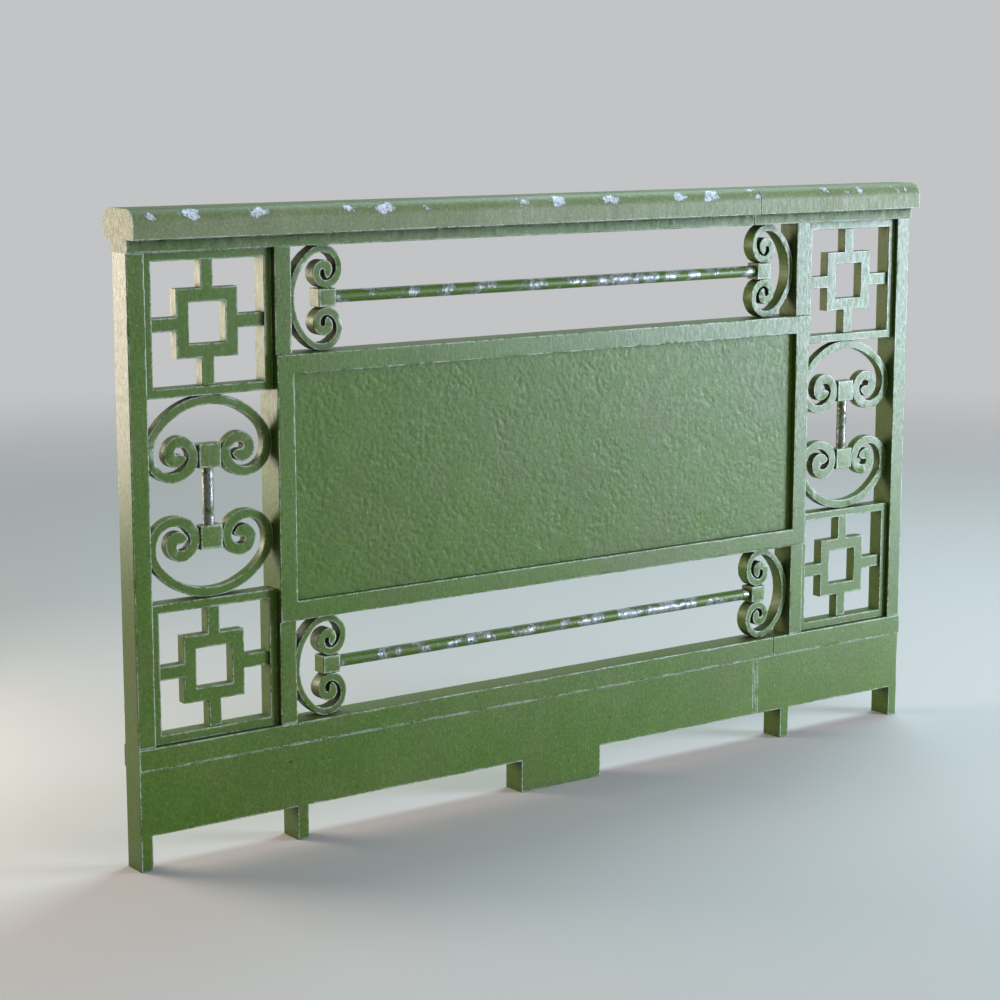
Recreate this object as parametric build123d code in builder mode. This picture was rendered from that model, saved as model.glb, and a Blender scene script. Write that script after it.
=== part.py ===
from build123d import *
import math
import os

# Metal fence panel, seen from the front: +X to the right, +Y to the back, +Z up.
# The origin is on the underside of the middle foot, midway between front and back.
# Every size is in millimetres.

# Panel
panel_length = 1800.0
panel_depth = 50.0
edge_break = 0.8
joint_bevel = 1.2

# Base skirt and its feet
foot_height = 61.5
skirt_height = 116.5
skirt_seam_x = 496.0
end_leg_width = 23.0
middle_leg_width = 23.0
middle_leg_x = 577.5
middle_foot_width = 190.0

# Bottom rail
rail_height = 38.5
rail_proud = 3.0
rail_seam_x = 541.0

# Posts
post_height = 838.5
end_post_width = 33.5
stub_post_width = 33.5
bay_width = 246.5

# Neck band and cap rail
neck_height = 22.0
neck_proud = 4.0
neck_seam_x = 467.5
cap_height = 51.0
cap_width = 105.0
cap_shoulder_radius = 25.0
cap_seam_x = 464.5

# Centre frame and its sheets
centre_frame_height = 469.0
centre_member_width = 35.0
centre_proud = 5.0
sheet_recess = 11.0
sheet_thickness = 4.0

# Corner frames and key frets
corner_frame_height = 244.5
corner_bar_width = 16.0
corner_frame_depth = 32.0
fret_size = 118.0
fret_bar_width = 24.0
fret_depth = 22.0

# C-scrolls. Each half of a scroll is two chains of tangent arcs that start at the crown, one for
# the outer edge and one for the inner edge, given as radius and turn in degrees. The radii are
# those of a scroll of reference size, and each scroll is scaled to the space that it fills. From
# the tip to the eye the lobe is closed by one more arc, given by its sagitta.
outer_arcs = [(152.0, 57.0), (60.5, 154.5), (43.5, 122.5), (34.0, 119.5), (25.0, 155.0)]
inner_arcs = [(139.0, 48.0), (54.0, 64.0), (36.0, 136.5), (18.2, 128.0), (7.0, 125.5)]
crown_band = 19.0
lobe_sagitta = 3.7
ring_scroll_depth = 18.0
slot_scroll_depth = 27.0

# Collars between the volutes, and the rods between the collars
collar_drop = 116.2
ring_collar_size = 42.0
ring_collar_depth = 23.0
slot_collar_length = 35.5
slot_collar_depth = 32.0
collar_clearance = 0.3
collar_bevel = 1.5
ring_rod_diameter = 20.0
slot_rod_diameter = 22.5

# Heights and distances from the middle that follow from the sizes above
half_length = panel_length / 2
skirt_top = foot_height + skirt_height
rail_top = skirt_top + rail_height
neck_bottom = rail_top + post_height
neck_top = neck_bottom + neck_height
mid_height = rail_top + post_height / 2
bay_outer_x = half_length - end_post_width
bay_inner_x = bay_outer_x - bay_width
bay_middle_x = (bay_outer_x + bay_inner_x) / 2
stub_inner_x = bay_inner_x - stub_post_width
stub_height = (post_height - centre_frame_height) / 2
centre_bottom = rail_top + stub_height
centre_top = neck_bottom - stub_height
ring_zone_bottom = rail_top + corner_frame_height
ring_zone_top = neck_bottom - corner_frame_height

# Half width of a reference scroll, where its outer edge stands upright on the second arc
turned = math.radians(outer_arcs[0][1])
reference_half_span = (outer_arcs[0][0] - outer_arcs[1][0]) * math.sin(turned) + outer_arcs[1][0]

sides = {"left": -1, "right": 1}


def save(part, name):
    """Label a finished piece and write it under its own name."""
    part.label = name
    export_step(part, f"parts/{name}.step")


def bar(x_min, x_max, z_min, z_max, depth, along=Axis.Z):
    """Square-cut bar centred front to back, with its four long edges broken."""
    with BuildPart() as piece:
        with BuildSketch(Plane.XZ):
            with Locations(((x_min + x_max) / 2, (z_min + z_max) / 2)):
                Rectangle(x_max - x_min, z_max - z_min)
        extrude(amount=depth / 2, both=True)
        chamfer(piece.edges().filter_by(along), edge_break)
    return piece.part


def two_lengths(name, seam_x, z_min, z_max, depth):
    """Rail across the panel in two lengths, bevelled where they butt at the seam."""
    for length, x_min, x_max in (("long", -half_length, seam_x), ("short", seam_x, half_length)):
        seam_end = -1 if length == "long" else 0
        with BuildPart() as piece:
            add(bar(x_min, x_max, z_min, z_max, depth, along=Axis.X))
            chamfer(piece.faces().sort_by(Axis.X)[seam_end].edges(), joint_bevel)
        save(piece.part, f"{name}_{length}")


def base_skirt():
    """Skirt with the feet cut from the same plate, in two lengths."""
    legs = [-half_length + end_leg_width / 2, -middle_leg_x, 0.0, middle_leg_x, half_length - end_leg_width / 2]
    widths = [end_leg_width, middle_leg_width, middle_foot_width, middle_leg_width, end_leg_width]
    for length, x_min, x_max in (("long", -half_length, skirt_seam_x), ("short", skirt_seam_x, half_length)):
        with BuildPart() as piece:
            with BuildSketch(Plane.XZ):
                with Locations(((x_min + x_max) / 2, foot_height + skirt_height / 2)):
                    Rectangle(x_max - x_min, skirt_height)
                for leg_x, width in zip(legs, widths):
                    if x_min < leg_x < x_max:
                        with Locations((leg_x, foot_height / 2)):
                            Rectangle(width, foot_height)
            extrude(amount=panel_depth / 2, both=True)
            chamfer(piece.faces().sort_by(Axis.Y)[0].edges(), edge_break)
            chamfer(piece.faces().sort_by(Axis.Y)[-1].edges(), edge_break)
        save(piece.part, f"base_skirt_{length}")


def cap_rail():
    """Cap rail with a flat underside and rounded shoulders, in two lengths."""
    for length, x_min, x_max in (("long", -half_length, cap_seam_x), ("short", cap_seam_x, half_length)):
        seam_end = -1 if length == "long" else 0
        with BuildPart() as piece:
            with BuildSketch(Plane.YZ.offset(x_min)) as profile:
                with Locations((0, neck_top + cap_height / 2)):
                    Rectangle(cap_width, cap_height)
                fillet(profile.vertices().group_by(Axis.Y)[-1], cap_shoulder_radius)
                chamfer(profile.vertices().group_by(Axis.Y)[0], edge_break)
            extrude(amount=x_max - x_min)
            chamfer(piece.faces().sort_by(Axis.X)[seam_end].edges(), joint_bevel)
        save(piece.part, f"cap_rail_{length}")


def corner_frame(name, middle_x, middle_z):
    """Square frame of flat bar with one open window."""
    with BuildPart() as piece:
        with BuildSketch(Plane.XZ):
            with Locations((middle_x, middle_z)):
                Rectangle(bay_width, corner_frame_height)
                Rectangle(
                    bay_width - 2 * corner_bar_width,
                    corner_frame_height - 2 * corner_bar_width,
                    mode=Mode.SUBTRACT,
                )
        extrude(amount=corner_frame_depth / 2, both=True)
        chamfer(piece.faces().sort_by(Axis.Y)[0].edges(), edge_break)
        chamfer(piece.faces().sort_by(Axis.Y)[-1].edges(), edge_break)
    save(piece.part, name)


def key_fret(name, middle_x, middle_z):
    """Open square with four arms that reach the corner frame on all sides."""
    window_width = bay_width - 2 * corner_bar_width
    window_height = corner_frame_height - 2 * corner_bar_width
    with BuildPart() as piece:
        with BuildSketch(Plane.XZ):
            with Locations((middle_x, middle_z)):
                Rectangle(fret_size, fret_size)
                Rectangle(window_width, fret_bar_width)
                Rectangle(fret_bar_width, window_height)
                Rectangle(
                    fret_size - 2 * fret_bar_width,
                    fret_size - 2 * fret_bar_width,
                    mode=Mode.SUBTRACT,
                )
        extrude(amount=fret_depth / 2, both=True)
        chamfer(piece.faces().sort_by(Axis.Y)[0].edges(), edge_break)
        chamfer(piece.faces().sort_by(Axis.Y)[-1].edges(), edge_break)
    save(piece.part, name)


def arc_chain(start, arcs, scale):
    """Tangent arcs, each turning clockwise from where the last one ended, from a level start."""
    point = start
    tangent = (1, 0)
    for radius, turn in arcs:
        arc = JernArc(start=point, tangent=tangent, radius=radius * scale, arc_size=-turn)
        point = arc @ 1
        tangent = arc % 1
    return point


def c_scroll(name, plane, half_span, depth):
    """C-scroll with its crown at the plane's origin and its opening towards the plane's -Y."""
    scale = half_span / reference_half_span
    with BuildPart() as piece:
        with BuildSketch(plane):
            with BuildLine():
                tip = arc_chain((0, 0), outer_arcs, scale)
                eye = arc_chain((0, -crown_band * scale), inner_arcs, scale)
                SagittaArc(tip, eye, lobe_sagitta * scale)
                Line((0, 0), (0, -crown_band * scale))
            make_face()
            mirror(about=Plane.YZ)
        extrude(amount=depth / 2, both=True)
    save(piece.part, name)


def volute_gap(half_span):
    """Clear width between the two volutes of a scroll."""
    scale = half_span / reference_half_span
    with BuildLine() as outer_edge:
        arc_chain((0, 0), outer_arcs, scale)
    volute = outer_edge.edges()[2]
    return 2 * volute.bounding_box().min.X


def collar(name, middle_x, middle_z, width, height, depth):
    """Square block with bevelled front and back faces."""
    with BuildPart() as piece:
        with Locations((middle_x, 0, middle_z)):
            Box(width, depth, height)
        chamfer(piece.faces().sort_by(Axis.Y)[0].edges(), collar_bevel)
        chamfer(piece.faces().sort_by(Axis.Y)[-1].edges(), collar_bevel)
    save(piece.part, name)


def rod(name, plane, length, diameter):
    """Round rod that starts at the plane's origin and runs along its normal."""
    with BuildPart() as piece:
        with BuildSketch(plane):
            Circle(diameter / 2)
        extrude(amount=length)
    save(piece.part, name)


def centre_frame():
    """Two upright stiles with two level rails between them, and a sheet front and back."""
    depth = panel_depth + 2 * centre_proud
    inner_x = bay_inner_x - centre_member_width
    inner_bottom = centre_bottom + centre_member_width
    inner_top = centre_top - centre_member_width
    save(bar(-bay_inner_x, -inner_x, centre_bottom, centre_top, depth), "centre_stile_left")
    save(bar(inner_x, bay_inner_x, centre_bottom, centre_top, depth), "centre_stile_right")
    save(bar(-inner_x, inner_x, centre_bottom, inner_bottom, depth, Axis.X), "centre_rail_lower")
    save(bar(-inner_x, inner_x, inner_top, centre_top, depth, Axis.X), "centre_rail_upper")
    sheet_y = depth / 2 - sheet_recess - sheet_thickness / 2
    for face, y in (("front", -sheet_y), ("back", sheet_y)):
        with BuildPart() as piece:
            with Locations((0, y, mid_height)):
                Box(2 * inner_x, sheet_thickness, inner_top - inner_bottom)
        save(piece.part, f"centre_sheet_{face}")


def posts():
    """End posts over the whole height, and stub posts above and below the centre frame."""
    for side, sign in sides.items():
        end_x = sorted((sign * bay_outer_x, sign * half_length))
        save(bar(*end_x, rail_top, neck_bottom, panel_depth), f"end_post_{side}")
        stub_x = sorted((sign * stub_inner_x, sign * bay_inner_x))
        save(bar(*stub_x, rail_top, centre_bottom, panel_depth), f"stub_post_lower_{side}")
        save(bar(*stub_x, centre_top, neck_bottom, panel_depth), f"stub_post_upper_{side}")


def outer_bays():
    """Corner frames with their frets, and a pair of facing C-scrolls tied by a rod between them."""
    half_span = bay_width / 2
    drop = collar_drop * half_span / reference_half_span
    width = volute_gap(half_span) - 2 * collar_clearance
    for side, sign in sides.items():
        middle_x = sign * bay_middle_x
        for level, seat_z, inward in (("lower", rail_top, 1), ("upper", neck_bottom, -1)):
            frame_z = seat_z + inward * corner_frame_height / 2
            corner_frame(f"corner_frame_{level}_{side}", middle_x, frame_z)
            key_fret(f"key_fret_{level}_{side}", middle_x, frame_z)
            crown_z = seat_z + inward * corner_frame_height
            upright = Plane(origin=(middle_x, 0, crown_z), x_dir=(1, 0, 0), z_dir=(0, inward, 0))
            c_scroll(f"ring_scroll_{level}_{side}", upright, half_span, ring_scroll_depth)
            collar_z = crown_z + inward * drop
            collar(
                f"ring_collar_{level}_{side}", middle_x, collar_z,
                width, ring_collar_size, ring_collar_depth,
            )
        rod_start = ring_zone_bottom + drop + ring_collar_size / 2
        rod_end = ring_zone_top - drop - ring_collar_size / 2
        upwards = Plane(origin=(middle_x, 0, rod_start))
        rod(f"ring_rod_{side}", upwards, rod_end - rod_start, ring_rod_diameter)


def long_slots():
    """C-scrolls at both ends of the slots over and under the centre frame, tied by a long rod."""
    half_span = stub_height / 2
    drop = collar_drop * half_span / reference_half_span
    height = volute_gap(half_span) - 2 * collar_clearance
    for level, middle_z in (("lower", rail_top + half_span), ("upper", neck_bottom - half_span)):
        for side, sign in sides.items():
            sideways = Plane(
                origin=(sign * stub_inner_x, 0, middle_z), x_dir=(0, 0, 1), z_dir=(0, sign, 0),
            )
            c_scroll(f"slot_scroll_{level}_{side}", sideways, half_span, slot_scroll_depth)
            collar_x = sign * (stub_inner_x - drop)
            collar(
                f"slot_collar_{level}_{side}", collar_x, middle_z,
                slot_collar_length, height, slot_collar_depth,
            )
        rod_reach = stub_inner_x - drop - slot_collar_length / 2
        along_x = Plane(origin=(-rod_reach, 0, middle_z), z_dir=(1, 0, 0))
        rod(f"slot_rod_{level}", along_x, 2 * rod_reach, slot_rod_diameter)


os.makedirs("parts", exist_ok=True)
base_skirt()
two_lengths("bottom_rail", rail_seam_x, skirt_top, rail_top, panel_depth + 2 * rail_proud)
posts()
centre_frame()
outer_bays()
long_slots()
two_lengths("neck_band", neck_seam_x, neck_bottom, neck_top, panel_depth + 2 * neck_proud)
cap_rail()
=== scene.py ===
import math

import bpy
import numpy as np
from bpy.props import FloatProperty, FloatVectorProperty, IntProperty, PointerProperty
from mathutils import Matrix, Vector


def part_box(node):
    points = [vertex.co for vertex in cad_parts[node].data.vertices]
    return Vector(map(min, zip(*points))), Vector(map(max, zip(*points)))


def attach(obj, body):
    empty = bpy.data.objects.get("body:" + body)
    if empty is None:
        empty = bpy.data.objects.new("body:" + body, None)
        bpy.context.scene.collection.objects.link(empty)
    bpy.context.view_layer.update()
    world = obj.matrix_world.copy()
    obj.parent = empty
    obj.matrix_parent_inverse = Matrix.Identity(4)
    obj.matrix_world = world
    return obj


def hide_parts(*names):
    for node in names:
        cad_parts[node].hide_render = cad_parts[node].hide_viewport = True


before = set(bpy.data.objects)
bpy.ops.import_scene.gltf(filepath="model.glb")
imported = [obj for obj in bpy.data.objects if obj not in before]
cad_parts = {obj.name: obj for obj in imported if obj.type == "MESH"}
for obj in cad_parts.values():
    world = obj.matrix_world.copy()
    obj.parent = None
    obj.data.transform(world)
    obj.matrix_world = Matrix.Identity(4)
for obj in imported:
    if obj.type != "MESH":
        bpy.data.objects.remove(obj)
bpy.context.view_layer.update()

bl_info = {
    "name": "Metal Fence Panel",
    "version": (1, 0, 0),
    "blender": (4, 5, 0),
    "location": "3D View > Sidebar > Fence Panel",
    "description": "Dresses an open metal fence panel with worn green paint and a photo stage",
    "category": "Object",
}

SIDES = ("left", "right")
LEVELS = ("lower", "upper")
CORNERS = [f"{level}_{side}" for level in LEVELS for side in SIDES]
X, Y, Z = range(3)

# Points on the flats beside a rounded corner, in radii from where its arc ends. A bar has more of
# them, so that a knock bends the skin only near its edge.
FLATS = (1.2,)
BAR_FLATS = (4.0, 1.2)
# Layers of noise: share, cell across and cell along. Lengths are in metres.
KNOCK_LAYERS = ((0.6, 0.007, 1.0), (0.7, 0.042, 1.0))
CAP_LAYERS = ((0.0003, 0.05, 0.03), (0.00015, 0.008, 0.02))
# How far apart the noise of two edges lies, and the level and the gain at which it knocks them in
EDGE_SPACING, KNOCK_LEVEL, KNOCK_GAIN = 3.0, 0.72, 2.2
# Points of the cap's profile on its lip, side, shoulder and half top, the gap to the shoulder, and
# how far in the underside starts, in lip radii
LIP_POINTS, SIDE_POINTS, SHOULDER_POINTS, TOP_POINTS, SHOULDER_GAP = 4, 6, 17, 4, 0.001
LIP_REACH = 2.2
# Place along the cap in metres, and strength, of each chipped spot
CAP_CHIPS = [
    (-0.868, 0.6), (-0.785, 1.0), (-0.662, 0.7), (-0.493, 0.75), (-0.415, 1.0),
    (-0.306, 0.8), (-0.113, 0.55), (-0.034, 0.9), (0.09, 0.75), (0.26, 0.6),
    (0.338, 1.0), (0.446, 0.9), (0.635, 0.7), (0.716, 1.0), (0.843, 0.8),
]
# Height of the chipped band below the cap's top, its half width, and the reach of a spot along it
CHIP_DROP, CHIP_BAND, CHIP_REACH, CHIP_GROWTH = 0.011, 0.010, 0.014, 0.012
# Cast texture of a centre sheet: cell across, cell up and how far a cell leans, in metres
CAST_CELLS = {
    "broad": (0.12, 0.12, math.inf),
    "lumps": (0.020, 0.024, 0.05),
    "ridges": (0.010, 0.011, -0.03),
    "grain": (0.0055, 0.0055, math.inf),
    "patches": (0.045, 0.04, math.inf),
}
BROAD_SHARE, LUMP_SHARE, RIDGE_SHARE, GRAIN_SHARE = 0.2, 0.15, 0.25, 0.8
# A scroll's edge radius, as a share of a bar's and at most as a share of the band's width
SCROLL_EDGE, SCROLL_EDGE_LIMIT = 0.8, 0.3
# Points on a scroll's lobe after its eye, and how far they reach towards the tip
LOBE_POINTS, LOBE_REACH = 8, 0.94
# Crown on a collar's face, from its middle out: inset in half widths, inset in bevels, depth
CROWN_HEIGHT = 0.00035
CROWN_PROFILE = np.array([
    (0.96, 0.0, 0.0), (0.7, 0.0, 0.1), (0.4, 0.0, 0.4), (0.0, 2.2, 0.9), (0.0, 1.3, 1.0),
])
# Points round a collar's bevel, its least edge radius, and where its side starts, in bevels
COLLAR_POINTS, COLLAR_EDGE, COLLAR_SIDE = 5, 0.0004, 2.2
# Wear of a rod: cells along it, cells round it, shares, and how much of the radius it takes
ROD_CELLS, ROD_TURNS, ROD_SHARES, ROD_WEAR = (0.02, 0.007), (1.5, 3), (0.6, 0.4), 0.02
# x and z of the pits in the skirt, in metres
SKIRT_PITS = [(-0.602, 0.1465), (0.1186, 0.1148)]
# Distance of the rubbed lines from the skirt's seam, in metres
SEAM_LINES = 0.0065
# Shares of patches, streaks and specks in the fading, and how much a pit darkens the paint
PATCH_SHARE, STREAK_SHARE, SPECK_SHARE, PIT_SHADE = 0.22, 0.1, 0.95, 0.6
# How much an edge brings on wear and a zone brings on chips, and how much finer a chip's outline is
EDGE_PULL, CHIP_PULL, CHIP_GRAIN = 0.18, 0.42, 7.0
# Where the surroundings are too close for edge wear, in metres
CLOSE_REACH = 0.006
# Heights of the peel, the swell and the brush lines, and the depth of a chip, in metres
PEEL_HEIGHT, SWELL_HEIGHT, LINE_HEIGHT, CHIP_DEPTH = 0.0009, 0.0013, 0.00025, 0.0002
BUMP_STRENGTH = 0.8
# How much grime with painted shade, and a chip's rim, cover the paint, and what grime and bare
# metal do to roughness
GRIME_AND_SHADE_COVER, RIM_COVER, GRIME_ROUGHNESS, BARE_SHINE = 0.9, 0.55, 0.4, 0.12
SENSOR_WIDTH = 36
# Rings of the floor, and where it has gone and where it starts to go, in floor radii
FLOOR_RINGS, FLOOR_GONE, FLOOR_FULL, FLOOR_SIDES = (0.02, 0.3, 1.0), 0.95, 0.3, 96
FLOOR_ROUGHNESS, FLOOR_SPECULAR = 0.7, 0.2
# name, place, what it faces, size, watts, colour
LAMPS = [
    ("key", (0.6, -4.6, 4.2), (0.0, 0.0, 0.6), 3.0, 83.0, (1.0, 1.0, 0.9)),
    ("cool_side", (4.0, -3.0, 0.85), (0.7, 0.0, 0.7), 1.8, 555.0, (0.69, 0.77, 1.0)),
    ("warm_end", (-1.6, 1.35, 0.92), (-0.9, 0.0, 0.9), 1.1, 38.0, (1.0, 0.86, 0.77)),
    ("warm_back", (-3.2, 3.4, 1.4), (-0.9, 0.0, 0.9), 1.8, 90.0, (1.0, 0.8, 0.6)),
    ("top", (2.6, 1.1, 4.6), (0.0, 0.0, 0.8), 2.5, 220.0, (0.68, 0.94, 1.0)),
]


# Sizes and colours that a user would change


def colour(name, text, value):
    """Colour property without alpha, as the shader takes it."""
    return FloatVectorProperty(
        name=name, description=text, default=value, subtype="COLOR", size=3, min=0, max=1,
    )


def length(name, text, value):
    """Length property in metres."""
    return FloatProperty(
        name=name, description=text, default=value, unit="LENGTH", subtype="DISTANCE",
    )


def angle(name, text, degrees):
    """Angle property, given in degrees."""
    return FloatProperty(
        name=name, description=text, default=math.radians(degrees), unit="ROTATION",
    )


def radii(name, text, values):
    """Radii of a chain of five arcs, in metres."""
    return FloatVectorProperty(name=name, description=text, default=values, size=5, unit="LENGTH")


def turns(name, text, degrees):
    """Turns of a chain of five arcs, given in degrees."""
    values = [math.radians(value) for value in degrees]
    return FloatVectorProperty(
        name=name, description=text, default=values, size=5, unit="ROTATION",
    )


class FencePaint(bpy.types.PropertyGroup):
    paint: colour("Paint", "Green of the sound paint", (0.046, 0.098, 0.004))
    faded: colour("Faded paint", "Paler green where it has weathered", (0.125, 0.19, 0.045))
    chalk: colour("Chalk", "Chalky tone of the cap rail", (0.21, 0.22, 0.13))
    stain: colour("Stain", "Brownish tone that the paint drifts to", (0.075, 0.09, 0.022))
    rubbed: colour("Rubbed paint", "Pale tone along worn edges", (0.39, 0.44, 0.37))
    primer: colour("Primer", "Pale tone where the cap rail has flaked", (0.48, 0.52, 0.57))
    # Besides real dirt, this colour darkens corners, recesses and the space under the cap as
    # painted shade
    grime: colour("Grime And Shade", "Dirt that gathers in corners", (0.012, 0.017, 0.009))
    metal: colour("Bare metal", "Steel where the paint is gone", (0.56, 0.6, 0.65))
    roughness: FloatProperty(
        name="Roughness", description="Roughness of the sound paint", default=0.38,
        min=0, max=1, subtype="FACTOR",
    )
    edge_width: length("Edge width", "How far wear reaches in from an edge", 0.0052)
    # The reach also sets how far the painted shade spreads out of a corner
    recess_reach: length("Recess reach", "How far grime reaches out of a corner", 0.03)


class FenceShapes(bpy.types.PropertyGroup):
    ring_step: length("Ring step", "Spacing of the cross-sections along bars", 0.004)
    edge_radius: length("Edge radius", "Rounding of a bar's long edges", 0.0012)
    nick_depth: length("Nick depth", "Depth of the knocks along edges", 0.0007)
    joint_bevel: length("Joint bevel", "Bevel where two lengths butt", 0.0012)
    cap_shoulder: length("Cap shoulder", "Radius of the cap rail's shoulders", 0.025)
    collar_bevel: length("Collar bevel", "Bevel round a collar's faces", 0.0018)
    sheet_step: length("Sheet step", "Spacing of the points on a centre sheet", 0.0025)
    sheet_relief: length("Sheet relief", "Height of a centre sheet's cast texture", 0.0006)
    rod_sides: IntProperty(name="Rod sides", description="Points round a rod", default=32, min=12)


class FenceScrolls(bpy.types.PropertyGroup):
    outer_radii: radii(
        "Outer radii", "Radii of the outer edge's arcs, crown to tip",
        (0.152, 0.0605, 0.0435, 0.034, 0.025),
    )
    outer_turns: turns(
        "Outer turns", "Turn of each outer arc", (57.0, 154.5, 122.5, 119.5, 155.0),
    )
    inner_radii: radii(
        "Inner radii", "Radii of the inner edge's arcs, crown to eye",
        (0.139, 0.054, 0.036, 0.0182, 0.007),
    )
    inner_turns: turns(
        "Inner turns", "Turn of each inner arc", (48.0, 64.0, 136.5, 128.0, 125.5),
    )
    crown_band: length("Crown band", "Width of the band at the crown", 0.019)
    lobe_sagitta: length("Lobe sagitta", "Bulge of the lobe's end, from tip to eye", 0.0037)
    parted_turn: angle("Parted turn", "Turn after which the two edges part", 380.0)
    sections: IntProperty(
        name="Sections", description="Cross-sections along half a scroll", default=130, min=40,
    )


class FenceStage(bpy.types.PropertyGroup):
    lens: FloatProperty(
        name="Lens", description="Focal length in millimetres", default=85.83, unit="CAMERA",
    )
    camera_place: FloatVectorProperty(
        name="Camera place", description="Where the camera stands",
        default=(-2.69179, -3.54366, 1.32602), subtype="TRANSLATION", unit="LENGTH",
    )
    camera_yaw: angle("Camera yaw", "Turn from straight ahead towards the right", 35.89)
    camera_pitch: angle("Camera pitch", "Tilt, negative when looking down", -9.87)
    floor_radius: length("Floor radius", "Radius of the pale floor", 7.0)
    floor_tone: colour("Floor tone", "Tone of the floor", (0.46, 0.45, 0.435))
    backdrop_tone: colour("Backdrop tone", "Tone seen behind the panel", (0.54, 0.55, 0.56))
    sky_strength: FloatProperty(
        name="Sky strength", description="Strength of the even light", default=0.12,
    )


class FenceSettings(bpy.types.PropertyGroup):
    paint: PointerProperty(type=FencePaint, name="Paint", description="Colours and wear")
    shapes: PointerProperty(
        type=FenceShapes, name="Shapes", description="Sizes of the soft-edged pieces",
    )
    scrolls: PointerProperty(
        type=FenceScrolls, name="Scrolls", description="Outline of the C-scrolls",
    )
    stage: PointerProperty(
        type=FenceStage, name="Stage", description="Camera, floor and light",
    )


def settings():
    """The sizes and colours held by the open scene."""
    return bpy.context.scene.fence_panel


# Surfaces


def value_noise(across, along, seed):
    """Smooth noise from 0 to 1: random numbers on a unit lattice, blended between the four corners
    of each cell by 3t^2 - 2t^3 in both directions. across and along are counted in cells."""
    first = np.floor([across.min(), along.min()]).astype(int)
    last = np.floor([across.max(), along.max()]).astype(int)
    lattice = np.random.default_rng(seed).random(tuple(last - first + 2))
    i = np.floor(across).astype(int) - first[0]
    j = np.floor(along).astype(int) - first[1]
    s = across - np.floor(across)
    t = along - np.floor(along)
    s = s * s * (3 - 2 * s)
    t = t * t * (3 - 2 * t)
    near = lattice[i, j] * (1 - s) + lattice[i + 1, j] * s
    far = lattice[i, j + 1] * (1 - s) + lattice[i + 1, j + 1] * s
    return near * (1 - t) + far * t


def layered_noise(across, along, seed, layers):
    """Sum of smooth noises, each given as its share, its cell across and its cell along."""
    return sum(
        share * value_noise(across / cell_across, along / cell_along, seed + k)
        for k, (share, cell_across, cell_along) in enumerate(layers)
    )


def loft(name, rings, sharp=math.radians(40), endless=False):
    """Closed skin over rings of points, an array of section by point by xyz. Point (u, v) joins
    (u + 1, v) and (u, v + 1), and v runs on round to its start. The first and last rings are
    capped, or in an endless loft u runs on round as well. The skin is turned so that it faces away
    from the middles of the rings."""
    count, around = rings.shape[:2]
    start = np.arange(count if endless else count - 1)[:, None]
    here, ahead = start * around, (start + 1) % count * around
    v = np.arange(around)
    after = (v + 1) % around
    quads = np.stack([here + v, here + after, ahead + after, ahead + v], axis=-1)
    corner = rings.reshape(-1, 3)[quads]
    first, second = corner[..., 2, :] - corner[..., 0, :], corner[..., 3, :] - corner[..., 1, :]
    outward = corner.mean(axis=2) - rings[:len(start)].mean(axis=1)[:, None]
    order = -1 if np.sum(np.cross(first, second) * outward) < 0 else 1
    caps = [] if endless else [v[::-1], (count - 1) * around + v]
    faces = quads.reshape(-1, 4)[:, ::order].tolist() + [cap[::order].tolist() for cap in caps]
    mesh = bpy.data.meshes.new(name)
    mesh.from_pydata(rings.reshape(-1, 3), [], faces, shade_flat=False)
    mesh.set_sharp_from_angle(angle=sharp)
    piece = bpy.data.objects.new(name, mesh)
    bpy.context.scene.collection.objects.link(piece)
    return piece


def seat(piece, *nodes):
    """The piece stands for its CAD nodes and rides on the frame."""
    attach(piece, "root")
    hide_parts(*nodes)
    return piece


def knocks(run, edge, seed):
    """How far an edge is knocked in at a distance run along it: smooth noise in short cells and in
    long ones, past a threshold. edge is a number for each edge, so that no two are alike."""
    run, edge = np.broadcast_arrays(run, edge * EDGE_SPACING)
    noise = layered_noise(run, edge, seed, KNOCK_LAYERS)
    return np.clip(noise - KNOCK_LEVEL, 0, 1) * KNOCK_GAIN * settings().shapes.nick_depth


def rounded_section(width, height, radius, flats=FLATS, steps=3):
    """Outline of a rounded rectangle. Each corner is its centre plus radius times (cos a, sin a)
    for a over a quarter turn, with more points on the flat either side, flats times the radius
    away. width and height are arrays, one value for each section. Gives section by point by
    (across, up), and a mask that is 1 on the corners."""
    quarter = math.pi / 2
    a = np.linspace(0, quarter, steps + 1)
    away = np.array(flats)
    level = np.ones(len(away))
    arc_x = np.concatenate([level, np.cos(a), -away[::-1]])
    arc_y = np.concatenate([-away, np.sin(a), level])
    mask = np.concatenate([0 * level, np.ones(steps + 1), 0 * level])
    outline = []
    for k in range(4):
        turn = k * quarter
        x = arc_x * math.cos(turn) - arc_y * math.sin(turn)
        y = arc_x * math.sin(turn) + arc_y * math.cos(turn)
        side_x = 1 if k in (0, 3) else -1
        side_y = 1 if k in (0, 1) else -1
        corner_x = side_x * (np.asarray(width)[:, None] / 2 - radius)
        corner_y = side_y * (np.asarray(height)[:, None] / 2 - radius)
        outline.append(np.stack([corner_x + radius * x, corner_y + radius * y], axis=-1))
    return np.concatenate(outline, axis=1), np.tile(mask, 4)


def knocked(section, corner, run, seed):
    """Sections of a rounded rectangle whose four corners are drawn towards the middle by knocks."""
    edge = np.repeat(np.arange(4), section.shape[1] // 4)
    depth = knocks(run[:, None], edge, seed) * corner
    return section * (1 - depth / np.linalg.norm(section, axis=-1))[..., None]


def stations(start, end, step, bevels=(0.0, 0.0)):
    """Places of the sections along a bar, and how far each is drawn in: by the bevel at a bevelled
    end, and not at all elsewhere."""
    count = max(3, int((end - start) / step))
    along = np.linspace(start + bevels[0], end - bevels[1], count)
    inset = np.zeros(count)
    if bevels[0]:
        along, inset = np.append(start, along), np.append(bevels[0], inset)
    if bevels[1]:
        along, inset = np.append(along, end), np.append(inset, bevels[1])
    return along, inset


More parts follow.
